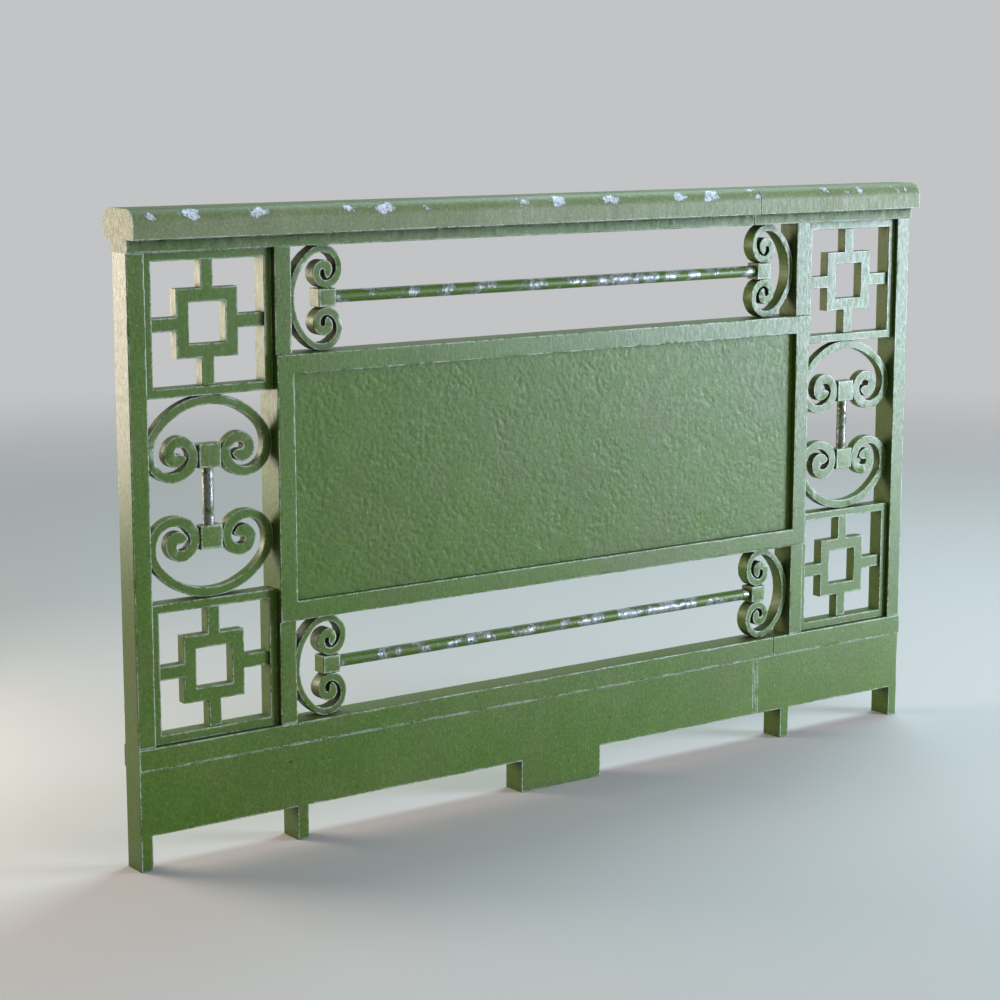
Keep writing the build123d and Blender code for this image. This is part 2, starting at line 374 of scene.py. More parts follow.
def rings_along(axis, middle, run, across, up):
    """Rings of points: run is their place on the axis, and across and up are counted from the
    middle on the other two."""
    rings = np.zeros(across.shape + (3,))
    across_axis, up_axis = (k for k in range(3) if k != axis)
    rings[..., axis] = run
    rings[..., across_axis] = middle[across_axis] + across
    rings[..., up_axis] = middle[up_axis] + up
    return rings


def worn_bar(node, axis, seed, bevels=(0.0, 0.0)):
    """Square bar along an axis, in the space of its CAD node: a rounded rectangle carried along the
    axis, whose corners are knocked in where smooth noise along each edge passes a threshold."""
    shapes = settings().shapes
    low, high = (np.array(corner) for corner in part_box(node))
    along, inset = stations(low[axis], high[axis], shapes.ring_step, bevels)
    width, height = np.delete(high - low, axis)
    section, corner = rounded_section(
        width - 2 * inset, height - 2 * inset, shapes.edge_radius, BAR_FLATS,
    )
    section = knocked(section, corner, along, seed)
    middle = (low + high) / 2
    rings = rings_along(axis, middle, along[:, None], section[..., 0], section[..., 1])
    return seat(loft(node + "_worn", rings), node)


def worn_frame(name, low, high, width, seed, nodes):
    """Upright frame without seams: a rounded rectangle carried round a rectangle, mitred at its
    corners. On the side from corner p to corner q, the point at t and offset a is
    (p + (q - p)t)(h + a) from the middle, where h is half the size of the frame's middle line."""
    shapes = settings().shapes
    middle = (low + high) / 2
    half_x, half_z = (high[X] - low[X] - width) / 2, (high[Z] - low[Z] - width) / 2
    halves = (half_x, half_z, half_x, half_z)
    counts = [max(3, int(2 * half / shapes.ring_step)) for half in halves]
    t = np.concatenate([np.arange(count) / count for count in counts])
    side = np.repeat(np.arange(4), counts)
    corners = np.array([(-1, -1), (1, -1), (1, 1), (-1, 1)])
    path = corners[side] + (corners[(side + 1) % 4] - corners[side]) * t[:, None]
    ends = np.ones(len(t))
    section, corner = rounded_section(
        ends * width, ends * (high[Y] - low[Y]), shapes.edge_radius, BAR_FLATS,
    )
    section = knocked(section, corner, np.arange(len(t)) * shapes.ring_step, seed)
    rings = np.stack([
        middle[X] + path[:, :1] * (half_x + section[..., 0]),
        middle[Y] + section[..., 1],
        middle[Z] + path[:, 1:] * (half_z + section[..., 0]),
    ], axis=-1)
    return seat(loft(name, rings, endless=True), *nodes)


def cap_length(node, bevels, seed):
    """Cap rail: a profile with a flat underside, upright sides and two quarter-round shoulders,
    carried along x. The skin sinks by smooth noise, and the lower lip is knocked in as a bar's
    edge is. A chipped spot is strength times e^-(distance / reach)^2 along the cap, times the same
    bell across a band on the front shoulder."""
    shapes = settings().shapes
    low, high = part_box(node)
    width, height = high.y - low.y, high.z - low.z
    radius, lip = shapes.cap_shoulder, shapes.edge_radius
    turn = np.linspace(0, math.pi / 2, SHOULDER_POINTS)
    lip_turn = np.linspace(0, math.pi / 2, LIP_POINTS)
    y = np.concatenate([
        [width / 2 - LIP_REACH * lip],
        width / 2 - lip + lip * np.sin(lip_turn),
        np.full(SIDE_POINTS, width / 2),
        width / 2 - radius + radius * np.cos(turn),
        np.linspace(width / 2 - radius - SHOULDER_GAP, 0.0, TOP_POINTS + 1)[:-1],
    ])
    z = np.concatenate([
        [0.0],
        lip - lip * np.cos(lip_turn),
        np.linspace(2 * lip, height - radius - SHOULDER_GAP, SIDE_POINTS),
        height - radius + radius * np.sin(turn),
        np.full(TOP_POINTS, height),
    ])
    on_lip = np.zeros(len(y))
    on_lip[1:1 + LIP_POINTS] = 1
    y = np.concatenate([y, [0.0], -y[::-1]])
    z = np.concatenate([z, [height], z[::-1]])
    on_lip = np.concatenate([on_lip, [0.0], on_lip[::-1]])
    along, inset = stations(low.x, high.x, shapes.ring_step, bevels)
    path = np.concatenate([[0], np.cumsum(np.hypot(np.diff(y), np.diff(z)))])
    u, v = np.meshgrid(along, path, indexing="ij")
    sink = layered_noise(u, v, seed, CAP_LAYERS)
    sink = sink + knocks(u, np.sign(v - path.mean()), seed + 2) * on_lip + inset[:, None]
    up = z - height / 2
    shrunk = 1 - sink / np.hypot(y, up)
    rings = np.stack([
        u, (low.y + high.y) / 2 + y * shrunk, low.z + height / 2 + up * shrunk,
    ], axis=-1)
    piece = seat(loft(node + "_worn", rings), node)
    shoulder = np.exp(-(((z - height + CHIP_DROP) / CHIP_BAND) ** 2)) * (y < 0)
    places, strengths = (np.array(row) for row in zip(*CAP_CHIPS))
    reach = CHIP_REACH + CHIP_GROWTH * strengths
    near = strengths * np.exp(-(((along[:, None] - places) / reach) ** 2))
    mark(piece, "chipped", near.max(axis=1)[:, None] * shoulder)
    return piece


def mark(piece, name, values):
    """Store a value for each point, which a material can read."""
    layer = piece.data.attributes.new(name, "FLOAT", "POINT")
    layer.data.foreach_set("value", np.ascontiguousarray(values, dtype=np.float32).ravel())


def relief_sheet(node, outward, seed):
    """Centre sheet: a flat back, and a face whose depth is a sum of smooth noises. A broad one and
    lumps count everywhere. Ridges, which are (1 - |2n - 1|)^2, and grain, which is n^2, count more
    in some patches than in others: by 0.2 + 0.8 n^1.5."""
    shapes = settings().shapes
    low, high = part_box(node)
    x = np.arange(low.x, high.x, shapes.sheet_step)
    x[-1] = high.x
    z = np.linspace(low.z, high.z, int((high.z - low.z) / shapes.sheet_step))
    u, v = np.meshgrid(x, z, indexing="ij")
    noise = {
        name: value_noise(u / across + v / lean, v / up, seed + k)
        for k, (name, (across, up, lean)) in enumerate(CAST_CELLS.items())
    }
    ridges = (1 - np.abs(2 * noise["ridges"] - 1)) ** 2
    grain = noise["grain"] ** 2
    strength = 0.2 + 0.8 * noise["patches"] ** 1.5
    depth = noise["broad"] * BROAD_SHARE + noise["lumps"] * LUMP_SHARE
    depth = depth + strength * (ridges * RIDGE_SHARE + grain * GRAIN_SHARE)
    depth = (depth - depth.min()) / (depth.max() - depth.min()) * 2 * shapes.sheet_relief
    face, back = (high.y, low.y) if outward > 0 else (low.y, high.y)
    flat = np.full((len(x), 1), back)
    rings = np.concatenate([
        np.stack([u, face - outward * depth, v], axis=-1),
        np.stack([u[:, -1:], flat, v[:, -1:]], axis=-1),
        np.stack([u[:, :1], flat, v[:, :1]], axis=-1),
    ], axis=1)
    return seat(loft(node + "_cast", rings, sharp=math.radians(60)), node)


def arc_chain(radii, turns, start, heading):
    """Points of a chain of tangent arcs that turns clockwise from a level start, where the path has
    turned by heading: the arc's centre plus its radius times (sin h, cos h). Each centre lies on
    the line from the last one to the point where the two arcs meet."""
    ends = np.concatenate([[0], np.cumsum(turns)])
    way = np.stack([np.sin(ends[1:-1]), np.cos(ends[1:-1])], axis=1)
    steps = (radii[:-1] - radii[1:])[:, None] * way
    first = np.array([[0, -radii[0]]])
    centres = np.array(start) + np.concatenate([first, first + np.cumsum(steps, axis=0)])
    arc = np.clip(np.searchsorted(ends, heading, side="right") - 1, 0, len(radii) - 1)
    ray = np.stack([np.sin(heading), np.cos(heading)], axis=1)
    return centres[arc] + radii[arc][:, None] * ray


def scroll_edges(scale):
    """The outer and inner edge of a whole scroll, tip to tip with the crown in the middle. Sections
    are evenly spaced along the outer edge. The inner point has the same heading as the outer one
    up to the turn where the edges part, and from there it takes its own share of the rest. The
    lobe ends in a parabola that bulges by 4 t (1 - t) times its sagitta from the eye to the tip."""
    scrolls = settings().scrolls
    outer_radii, outer_turns = np.array(scrolls.outer_radii), np.array(scrolls.outer_turns)
    inner_radii, inner_turns = np.array(scrolls.inner_radii), np.array(scrolls.inner_turns)
    run = np.concatenate([[0], np.cumsum(outer_radii * outer_turns)])
    heads = np.concatenate([[0], np.cumsum(outer_turns)])
    outer_head = np.interp(np.linspace(0, run[-1], scrolls.sections), run, heads)
    parted = scrolls.parted_turn
    rest = (outer_head - parted) * (inner_turns.sum() - parted) / (outer_turns.sum() - parted)
    inner_head = np.where(outer_head < parted, outer_head, parted + rest)
    inner_start = (0.0, -scrolls.crown_band)
    outer = arc_chain(outer_radii, outer_turns, (0.0, 0.0), outer_head) * scale
    inner = arc_chain(inner_radii, inner_turns, inner_start, inner_head) * scale
    t = np.linspace(0, LOBE_REACH, LOBE_POINTS + 1)[1:, None]
    tip, eye = outer[-1], inner[-1]
    square = (eye - tip)[::-1] * np.array([-1, 1]) / np.linalg.norm(eye - tip)
    bulge = square * scrolls.lobe_sagitta * scale
    inner = np.concatenate([inner, eye + (tip - eye) * t + 4 * t * (1 - t) * bulge])
    outer = np.concatenate([outer, np.repeat(tip[None], len(t), axis=0)])
    flip = np.array([-1, 1])
    return tuple(np.concatenate([edge[:0:-1] * flip, edge]) for edge in (outer, inner))


def soft_scroll(node, right, up, seed):
    """C-scroll whose crown lies on the side of the CAD box that up points to: at each section a
    rounded rectangle spans from the inner to the outer edge of the outline, as deep as the CAD
    node. Its corners are knocked in by smooth noise along the scroll."""
    shapes, scrolls = settings().shapes, settings().scrolls
    low, high = (np.array(corner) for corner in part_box(node))
    right, up = np.array(right), np.array(up)
    origin = np.where(up > 0, high, np.where(up < 0, low, (low + high) / 2))
    half_span = (high - low) @ right / 2
    radii, turn = scrolls.outer_radii, scrolls.outer_turns[0]
    outer, inner = scroll_edges(half_span / ((radii[0] - radii[1]) * math.sin(turn) + radii[1]))
    band = np.linalg.norm(outer - inner, axis=1)
    out = (outer - inner) / band[:, None]
    radius = np.minimum(shapes.edge_radius * SCROLL_EDGE, band * SCROLL_EDGE_LIMIT)[:, None]
    section, corner = rounded_section(band, np.ones(len(band)) * (high[Y] - low[Y]), radius)
    run = np.concatenate([[0], np.cumsum(np.linalg.norm(np.diff(outer, axis=0), axis=1))])
    section = knocked(section, corner, run, seed)
    flat = ((outer + inner) / 2)[:, None] + section[..., :1] * out[:, None]
    rings = origin + flat[..., :1] * right + flat[..., 1:] * up
    rings[..., Y] += section[..., 1]
    return seat(loft(node + "_soft", rings), node)


def soft_collar(node):
    """Collar: rounded squares carried from front to back. Their inset from the side is a function
    of depth, a shallow crown on each face, a round bevel and straight sides."""
    shapes = settings().shapes
    low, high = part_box(node)
    size = high - low
    half = min(size.x, size.z) / 2
    bevel = shapes.collar_bevel
    turn = np.linspace(0, math.pi / 2, COLLAR_POINTS)
    halves, bevels, depths = CROWN_PROFILE.T
    inset = np.concatenate([halves * half + bevels * bevel, bevel * (1 - np.sin(turn)), [0, 0]])
    depth = np.concatenate([
        CROWN_HEIGHT * depths,
        CROWN_HEIGHT + bevel * (1 - np.cos(turn)),
        [bevel * COLLAR_SIDE, size.y / 2],
    ])
    inset = np.concatenate([inset, inset[-2::-1]])
    depth = np.concatenate([depth, size.y - depth[-2::-1]])
    radius = np.maximum(COLLAR_EDGE, shapes.edge_radius - inset * 0.5)[:, None]
    section, _ = rounded_section(size.x - 2 * inset, size.z - 2 * inset, radius)
    middle = (np.array(low) + np.array(high)) / 2
    rings = rings_along(Y, middle, low.y + depth[:, None], section[..., 0], section[..., 1])
    return seat(loft(node + "_soft", rings), node)


def soft_rod(node, axis, seed):
    """Rod: a circle carried along its axis, whose radius shrinks a little where smooth noise is
    high."""
    shapes = settings().shapes
    low, high = (np.array(corner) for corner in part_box(node))
    along, _ = stations(low[axis], high[axis], shapes.ring_step)
    turn = np.arange(shapes.rod_sides) * 2 * math.pi / shapes.rod_sides
    u, v = np.meshgrid(along, turn, indexing="ij")
    sides = (np.cos(v), np.sin(v))
    worn = sum(
        value_noise(u / cell, side * turns, seed + k) * share
        for k, (cell, side, turns, share) in enumerate(
            zip(ROD_CELLS, sides, ROD_TURNS, ROD_SHARES)
        )
    )
    r = np.delete(high - low, axis)[1] / 2 * (1 - ROD_WEAR * worn)
    rings = rings_along(axis, (low + high) / 2, u, r * sides[0], r * sides[1])
    return seat(loft(node + "_soft", rings), node)


# Materials


class Wiring:
    """Short ways to add nodes to a tree and to wire them up."""

    def __init__(self, tree):
        self.tree = tree

    def feed(self, socket, value):
        """Wire a value to a socket, or write it there where it isn't a socket itself."""
        if isinstance(value, bpy.types.NodeSocket):
            self.tree.links.new(value, socket)
        else:
            socket.default_value = value

    def node(self, kind, inputs=(), **options):
        """New node with these inputs and options."""
        made = self.tree.nodes.new(kind)
        for key, value in options.items():
            setattr(made, key, value)
        for key, value in dict(inputs).items():
            self.feed(made.inputs[key], value)
        return made

    def group(self, tree, inputs):
        """Outputs of a node group with these inputs."""
        return self.node("ShaderNodeGroup", inputs, node_tree=tree).outputs

    def math(self, operation, a, b=0.0, clamp=False):
        """One step of arithmetic."""
        made = self.node("ShaderNodeMath", {0: a, 1: b}, operation=operation, use_clamp=clamp)
        return made.outputs[0]

    def plus(self, a, b, clamp=False):
        return self.math("ADD", a, b, clamp)

    def minus(self, a, b):
        return self.math("SUBTRACT", a, b)

    def times(self, a, b, clamp=False):
        return self.math("MULTIPLY", a, b, clamp)

    def ramp(self, value, low, high, to_low=0.0, to_high=1.0):
        """Smooth step from to_low, where the value is low, to to_high, where it is high."""
        inputs = {
            "Value": value, "From Min": low, "From Max": high, "To Min": to_low, "To Max": to_high,
        }
        made = self.node("ShaderNodeMapRange", inputs, interpolation_type="SMOOTHSTEP")
        return made.outputs["Result"]

    def mix(self, factor, a, b):
        """Colour that goes from a to b."""
        made = self.node("ShaderNodeMix", data_type="RGBA")
        named = {socket.identifier: socket for socket in (*made.inputs, *made.outputs)}
        for key, value in (("Factor_Float", factor), ("A_Color", a), ("B_Color", b)):
            self.feed(named[key], value)
        return named["Result_Color"]

    def vector(self, operation, output, inputs):
        """One step of vector arithmetic."""
        return self.node("ShaderNodeVectorMath", inputs, operation=operation).outputs[output]

    def along(self, vector):
        """The part of a vector that runs along the fence."""
        return self.node("ShaderNodeSeparateXYZ", {0: vector}).outputs["X"]

    def where(self):
        """Object coordinates."""
        return self.node("ShaderNodeTexCoord").outputs["Object"]

    def noise(self, scale, detail=3.0, roughness=0.55, stretch=(1, 1, 1), shift=(0, 0, 0)):
        """Noise over the object coordinates, stretched and shifted."""
        place = {"Vector": self.where(), "Scale": stretch, "Location": shift}
        place = self.node("ShaderNodeMapping", place).outputs["Vector"]
        inputs = {"Scale": scale, "Detail": detail, "Roughness": roughness, "Vector": place}
        return self.node("ShaderNodeTexNoise", inputs).outputs["Fac"]


def rgba(value):
    """Colour with full alpha."""
    return (*value, 1.0)


def made_once(make):
    """The node group that carries the maker's name: made on the first call, and then given back."""

    def give():
        name = make.__name__.removeprefix("group_")
        if name not in bpy.data.node_groups:
            make(name)
        return bpy.data.node_groups[name]

    return give


def new_group(name, inputs, outputs):
    """New node group: its wiring, input sockets and output sockets. An input whose value has
    several numbers is a colour."""
    group = bpy.data.node_groups.new(name, "ShaderNodeTree")
    for key, value in inputs.items():
        kind = "NodeSocketColor" if isinstance(value, tuple) else "NodeSocketFloat"
        socket = group.interface.new_socket(name=key, in_out="INPUT", socket_type=kind)
        socket.default_value = value
    for key, kind in outputs.items():
        group.interface.new_socket(name=key, in_out="OUTPUT", socket_type="NodeSocket" + kind)
    w = Wiring(group)
    return w, w.node("NodeGroupInput").outputs, w.node("NodeGroupOutput").inputs


@made_once
def group_paint_tone(name):
    """Green that drifts between sound and faded paint in wide patches, upright streaks and fine
    specks, and towards a brownish stain in others. Fine noise lightens and darkens it, with dark
    pits here and there."""
    w, given, out = new_group(name, {
        "Paint": (0, 0.2, 0, 1), "Faded": (0.2, 0.3, 0.1, 1), "Stain": (0.1, 0.1, 0.04, 1),
        "Fading": 0.5, "Chalking": 0.0,
    }, {"Color": "Color"})
    patches = w.ramp(w.noise(scale=7.0, detail=5.0, roughness=0.65), low=0.4, high=0.75)
    streaks = w.ramp(w.noise(scale=110.0, stretch=(1, 1, 0.16)), low=0.5, high=0.85)
    specks = w.ramp(w.noise(scale=230.0, roughness=0.6), low=0.6, high=0.7)
    fade = w.times(patches, PATCH_SHARE)
    fade = w.plus(fade, w.times(streaks, STREAK_SHARE))
    fade = w.plus(fade, w.times(specks, SPECK_SHARE))
    fade = w.plus(w.times(fade, given["Fading"]), given["Chalking"], clamp=True)
    tone = w.mix(fade, given["Paint"], given["Faded"])
    stain = w.noise(scale=6.0, detail=4.0, shift=(7, 3, 5))
    tone = w.mix(w.ramp(stain, low=0.42, high=0.66, to_high=0.35), tone, given["Stain"])
    dark = w.noise(scale=190.0, detail=4.0, roughness=0.8, shift=(3, 1, 2))
    dark = w.ramp(dark, low=0.3, high=0.7, to_low=0.74, to_high=1.22)
    pits = w.ramp(w.noise(scale=480.0, detail=2.0), low=0.32, high=0.26)
    pits = w.times(pits, w.ramp(w.noise(scale=14.0, detail=2.0), low=0.42, high=0.6))
    dark = w.times(dark, w.minus(1.0, w.times(pits, PIT_SHADE)))
    w.feed(out["Color"], w.vector("SCALE", "Vector", {0: tone, "Scale": dark}))


@made_once
def group_wear_masks(name):
    """Edge: specks that close up towards an edge, where the normal rounded off by a small radius
    leaves the true one and the place is open, but not on the faces that look along the fence.
    Recess: where the surroundings are close. It darkens corners, hollows and the space under
    overhangs, partly as grime and partly as painted shade."""
    w, given, out = new_group(
        name,
        {"Width": 0.002, "Reach": 0.03, "Edge Wear": 1.0, "Grime And Shade": 1.0},
        {"Edge": "Float", "Recess": "Float"},
    )
    rounded = w.node("ShaderNodeBevel", {"Radius": given["Width"]}, samples=6).outputs["Normal"]
    true = w.node("ShaderNodeNewGeometry").outputs["True Normal"]
    agree = w.vector("DOT_PRODUCT", "Value", {0: rounded, 1: true})
    bent = w.ramp(agree, low=0.9998, high=0.86)
    open_near, open_wide = (
        w.node("ShaderNodeAmbientOcclusion", {"Distance": reach}, samples=6).outputs["AO"]
        for reach in (CLOSE_REACH, given["Reach"])
    )
    field = w.noise(scale=210.0, detail=4.0, roughness=0.7)
    field = w.plus(field, w.times(w.times(bent, given["Edge Wear"]), EDGE_PULL))
    wide = w.noise(scale=26.0, detail=2.0, shift=(2, 6, 4))
    field = w.plus(field, w.ramp(wide, low=0.3, high=0.7, to_low=-0.09, to_high=0.09))
    facing = w.ramp(w.math("ABSOLUTE", w.along(true)), low=0.98, high=0.8)
    edge = w.times(w.ramp(bent, low=0.02, high=0.2), w.ramp(open_near, low=0.5, high=0.75))
    edge = w.times(edge, w.times(facing, w.ramp(field, low=0.58, high=0.64)), clamp=True)
    w.feed(out["Edge"], edge)
    # Recess mask: grime and painted shade where the surroundings are close, broken up by upright
    # drips
    drips = w.noise(scale=70.0, stretch=(1, 1, 0.2))
    drips = w.ramp(drips, low=0.2, high=0.8, to_low=-0.12, to_high=0.12)
    close = w.ramp(w.plus(open_wide, drips), low=0.8, high=0.3)
    w.feed(out["Recess"], w.times(close, given["Grime And Shade"], clamp=True))


@made_once
def group_chips(name):
    """Flakes: fine noise over wide noise, cut off at a threshold that falls where the zone is high.
    Traces of paint are left inside them in short upright strokes."""
    w, given, out = new_group(
        name, {"Zone": 1.0, "Amount": 0.5, "Size": 30.0}, {"Mask": "Float", "Rim": "Float"},
    )
    wide = w.noise(scale=given["Size"], detail=2.0, shift=(5, 2, 7))
    wide = w.ramp(wide, low=0.35, high=0.65, to_low=0.2)
    fine_scale = w.times(given["Size"], CHIP_GRAIN)
    fine = w.noise(scale=fine_scale, detail=7.0, roughness=0.85, stretch=(1, 1, 0.6))
    level = w.times(w.times(given["Zone"], given["Amount"]), wide)
    field = w.plus(fine, w.times(level, CHIP_PULL))
    left = w.noise(scale=260.0, detail=5.0, roughness=0.8, stretch=(1, 1, 0.4))
    left = w.ramp(left, low=0.38, high=0.56, to_low=0.25)
    w.feed(out["Mask"], w.times(left, w.ramp(field, low=0.71, high=0.79)))
    w.feed(out["Rim"], w.ramp(field, low=0.67, high=0.72))


@made_once
def group_skin(name):
    """Height of the skin: a broad swell, an orange peel and fine upright brush lines, in metres."""
    w, given, out = new_group(
        name, {"Peel": 1.0, "Swell": 1.0, "Lines": 1.0}, {"Height": "Float"},
    )
    patch = w.noise(scale=9.0, shift=(1, 4, 2))
    patch = w.ramp(patch, low=0.35, high=0.65, to_low=0.85, to_high=1.1)
    peel = w.times(w.noise(scale=150.0, roughness=0.6), w.times(given["Peel"], PEEL_HEIGHT))
    swell = w.times(w.noise(scale=55.0, detail=4.0), w.times(given["Swell"], SWELL_HEIGHT))
    lines = w.noise(scale=260.0, detail=2.0, stretch=(1, 1, 0.12))
    lines = w.times(lines, w.times(given["Lines"], LINE_HEIGHT))
    w.feed(out["Height"], w.plus(w.plus(w.times(peel, patch), swell), lines))


@made_once
def group_satin(name):
    """Roughness that drifts in fine upright smears around a given one, and is higher where the
    mask of grime and painted shade lies."""
    w, given, out = new_group(
        name, {"Roughness": 0.4, "Grime And Shade Mask": 0.0}, {"Roughness": "Float"},
    )
    drift = w.noise(scale=240.0, detail=4.0, stretch=(1, 1, 0.3))
    drift = w.ramp(drift, low=0.3, high=0.7, to_low=-0.05, to_high=0.08)
    rough = w.plus(given["Roughness"], drift)
    w.feed(out["Roughness"], w.plus(rough, w.times(given["Grime And Shade Mask"], GRIME_ROUGHNESS)))


def painted(
    name, edge_wear=1.0, edge_width=1.0, grime=0.8, fading=0.8, chalking=0.0, faded=None,
    chips=0.0, chip_size=30.0, zone=None, peel=0.42, swell=0.04, lines=0.8, matt=0.0,
    specular=0.25, lightness=None, dark=None, bare=None, metal=0.85,
):
    """Worn satin paint on metal. zone, lightness and dark are functions that add nodes and give a
    mask of their own. faded and bare are other tones for weathered paint and for what shows under
    the paint, and matt is added to the roughness."""
    if name in bpy.data.materials:
        return bpy.data.materials[name]
    paint = settings().paint
    material = bpy.data.materials.new(name)
    material.use_nodes = True
    w = Wiring(material.node_tree)
    shader = material.node_tree.nodes["Principled BSDF"].inputs
    masks = w.group(group_wear_masks(), {
        "Width": paint.edge_width * edge_width, "Reach": paint.recess_reach,
        "Edge Wear": edge_wear, "Grime And Shade": grime,
    })
    shown = w.group(group_paint_tone(), {
        "Paint": rgba(paint.paint), "Faded": rgba(faded or paint.faded),
        "Stain": rgba(paint.stain), "Fading": fading, "Chalking": chalking,
    })["Color"]
    if lightness:
        shown = w.mix(lightness(w), shown, rgba(paint.rubbed))
    # Grime and painted shade: recesses are darkened towards the grime colour
    shown = w.mix(w.times(masks["Recess"], GRIME_AND_SHADE_COVER), shown, rgba(paint.grime))
    if dark:
        shown = w.mix(dark(w), shown, rgba(paint.grime))
    shown = w.mix(masks["Edge"], shown, rgba(paint.rubbed))
    rough = w.group(group_satin(), {
        "Roughness": paint.roughness + matt, "Grime And Shade Mask": masks["Recess"],
    })["Roughness"]
    relief = w.group(group_skin(), {"Peel": peel, "Swell": swell, "Lines": lines})["Height"]
    if chips:
        inputs = {"Amount": chips, "Size": chip_size}
        if zone:
            inputs["Zone"] = zone(w)
        flakes = w.group(group_chips(), inputs)
        bared = flakes["Mask"]
        shown = w.mix(w.times(flakes["Rim"], RIM_COVER), shown, rgba(paint.grime))
        shown = w.mix(bared, shown, rgba(bare or paint.metal))
        rough = w.minus(rough, w.times(bared, BARE_SHINE))
        relief = w.minus(relief, w.times(bared, CHIP_DEPTH))
        w.feed(shader["Metallic"], w.times(bared, metal))
    bump = {"Height": relief, "Distance": 1.0, "Strength": BUMP_STRENGTH}
    w.feed(shader["Base Color"], shown)
    w.feed(shader["Roughness"], rough)
    w.feed(shader["Specular IOR Level"], specular)
    w.feed(shader["Normal"], w.node("ShaderNodeBump", bump).outputs["Normal"])
    return material


def chipped(w):
    """The wear that is stored on the piece itself."""
    return w.node("ShaderNodeAttribute", attribute_name="chipped").outputs["Fac"]


def skirt_lines(w):
    """Two thin rubbed lines either side of the skirt's seam."""
    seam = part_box("base_skirt_long")[1].x
    off = w.math("ABSOLUTE", w.minus(w.along(w.where()), seam))
    line = w.ramp(w.math("ABSOLUTE", w.minus(off, SEAM_LINES)), low=0.0014, high=0.0004)
    worn = w.ramp(w.noise(scale=90.0, detail=4.0), low=0.35, high=0.6, to_high=0.6)
    return w.times(line, worn)


def skirt_pits(w):
    """Two small pits in the front of the skirt."""
    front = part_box("base_skirt_long")[0].y
    pits = [
        w.ramp(w.vector("DISTANCE", "Value", {0: w.where(), 1: (x, front, z)}), 0.003, 0.0018)
        for x, z in SKIRT_PITS
    ]
    return w.math("MAXIMUM", *pits)


def rod_wear(w):
    """Wear that grows towards the right end of the long rods."""
    return w.ramp(w.along(w.where()), low=0.38, high=0.56, to_low=0.64, to_high=1.4)


def frame_paint():
    """The paint that most bars share."""
    return painted("frame_paint")


def dress(nodes, material):
    """The CAD nodes keep their shape and take the material."""
    for name in nodes:
        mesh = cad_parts[name].data
        mesh.materials.clear()
        mesh.materials.append(material)


def coat(piece, material):
    """The piece takes the material."""
    piece.data.materials.append(material)


# Operators


class FENCE_OT_skirt(bpy.types.Operator):
    """Paint the skirt and its feet, with the rubbed lines beside the seam"""

    bl_idname = "fence.skirt"
    bl_label = "Skirt"

    def execute(self, context):
        material = painted("skirt_paint", lightness=skirt_lines, dark=skirt_pits, grime=0.7)
        dress(["base_skirt_long", "base_skirt_short"], material)
        return {"FINISHED"}


class FENCE_OT_rails(bpy.types.Operator):
    """Make the bottom rail and the neck band, each in two lengths"""

    bl_idname = "fence.rails"
    bl_label = "Rails"

    def execute(self, context):
        bevel = settings().shapes.joint_bevel
        # The neck's strong recess darkening is painted shadow under the cap, besides grime
        neck = painted("neck_paint", fading=1.1, faded=(0.17, 0.18, 0.11), grime=2.2, matt=0.12)
        rails = (("bottom_rail", frame_paint()), ("neck_band", neck))
        for seed, (rail, material) in enumerate(rails):
            coat(worn_bar(rail + "_long", X, 10 + seed, (0.0, bevel)), material)
            coat(worn_bar(rail + "_short", X, 14 + seed, (bevel, 0.0)), material)
        return {"FINISHED"}


class FENCE_OT_posts(bpy.types.Operator):
    """Make the end posts and the stub posts"""

    bl_idname = "fence.posts"
    bl_label = "Posts"

    def execute(self, context):
        names = [f"end_post_{side}" for side in SIDES]
        names += [f"stub_post_{corner}" for corner in CORNERS]
        for seed, name in enumerate(names):
            coat(worn_bar(name, Z, 20 + 2 * seed), frame_paint())
        return {"FINISHED"}


class FENCE_OT_cap(bpy.types.Operator):
    """Make the rounded cap rail in two lengths, chipped along its front shoulder"""

    bl_idname = "fence.cap"
    bl_label = "Cap rail"

    def execute(self, context):
        bevel = settings().shapes.joint_bevel
        paint = settings().paint
        material = painted(
            "cap_paint", fading=0.8, chalking=0.35, faded=paint.chalk, chips=1.85, matt=0.14,
            chip_size=38.0, zone=chipped, bare=paint.primer, metal=0.2,
        )
        coat(cap_length("cap_rail_long", (0.0, bevel), 40), material)
        coat(cap_length("cap_rail_short", (bevel, 0.0), 46), material)
        return {"FINISHED"}


class FENCE_OT_centre(bpy.types.Operator):
    """Make the centre frame and its two cast sheets"""

    bl_idname = "fence.centre"
    bl_label = "Centre panel"

    def execute(self, context):
        nodes = [f"centre_stile_{side}" for side in SIDES]
        nodes += [f"centre_rail_{level}" for level in LEVELS]
        boxes = np.array([[tuple(corner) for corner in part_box(node)] for node in nodes])
        width = boxes[0, 1, X] - boxes[0, 0, X]
        low, high = boxes[:, 0].min(axis=0), boxes[:, 1].max(axis=0)
        piece = worn_frame("centre_frame_worn", low, high, width, 50, nodes)
        coat(piece, painted("centre_paint", grime=0.3))
        material = painted(
            "sheet_paint", fading=0.7, edge_wear=0.0, swell=0.0, peel=0.6, lines=0.4, grime=0.3,
            matt=0.06, specular=0.2,
        )
        coat(relief_sheet("centre_sheet_front", -1, 60), material)
        coat(relief_sheet("centre_sheet_back", 1, 70), material)
        return {"FINISHED"}


class FENCE_OT_frets(bpy.types.Operator):
    """Paint the corner frames and their key frets"""

    bl_idname = "fence.frets"
    bl_label = "Corner frames and frets"

    def execute(self, context):
        for part in ("corner_frame", "key_fret"):
            dress([f"{part}_{corner}" for corner in CORNERS], frame_paint())
        return {"FINISHED"}


